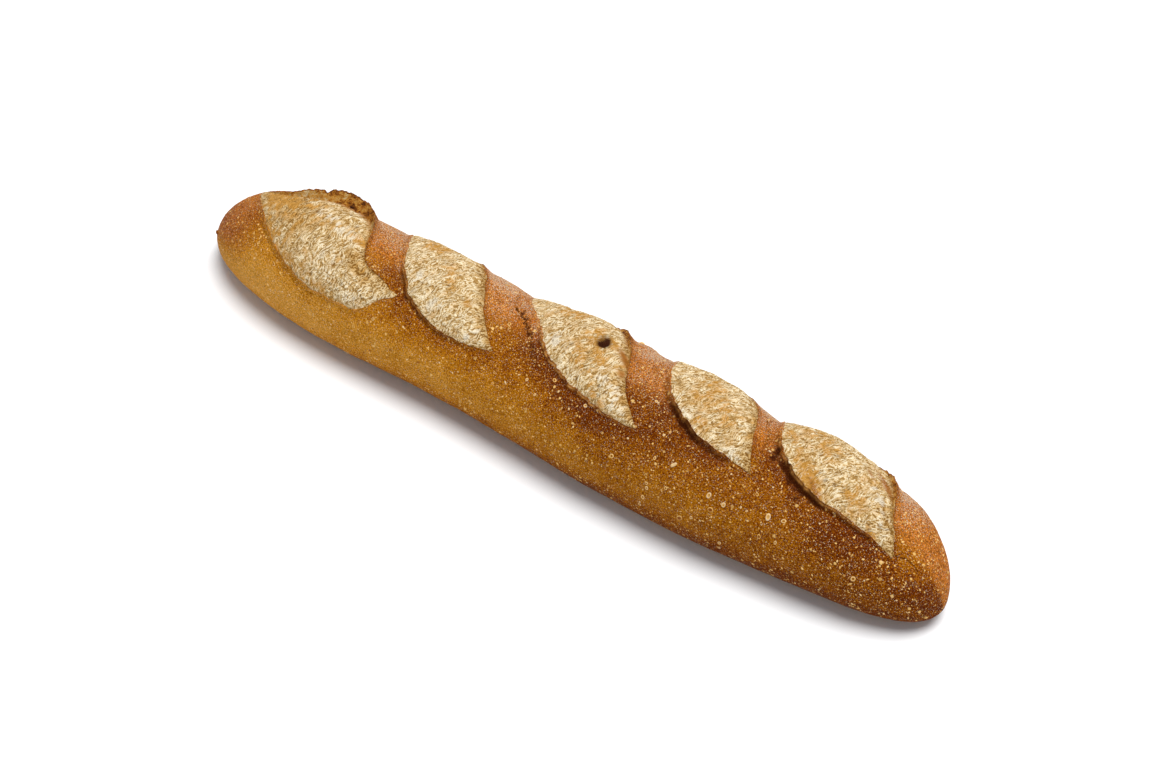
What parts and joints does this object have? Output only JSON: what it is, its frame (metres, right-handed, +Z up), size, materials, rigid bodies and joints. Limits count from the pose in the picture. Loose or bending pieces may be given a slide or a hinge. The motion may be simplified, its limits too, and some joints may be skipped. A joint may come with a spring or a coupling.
{
  "type": "baguette",
  "caption": "Whole baked baguette: a long round loaf, flat underneath, with slanting slashes along its crown that opened into domed leaves of crumb behind thin crust lips.",
  "frame": {"origin": "bottom centre of the bounding box, on the surface that the loaf lies on", "axes": "+X along the loaf, towards its pointed end; +Y across it, towards the side with the ears; +Z up through the crown"},
  "size_m": [0.43, 0.0756, 0.0601],
  "materials": {
    "crust": "dry baked crust, satin to matte, golden brown with a dusting of flour, and matte pale crumb in the opened slashes"
  },
  "bodies": {
    "root": {"baguette": "crust"}
  },
  "joints": []
}
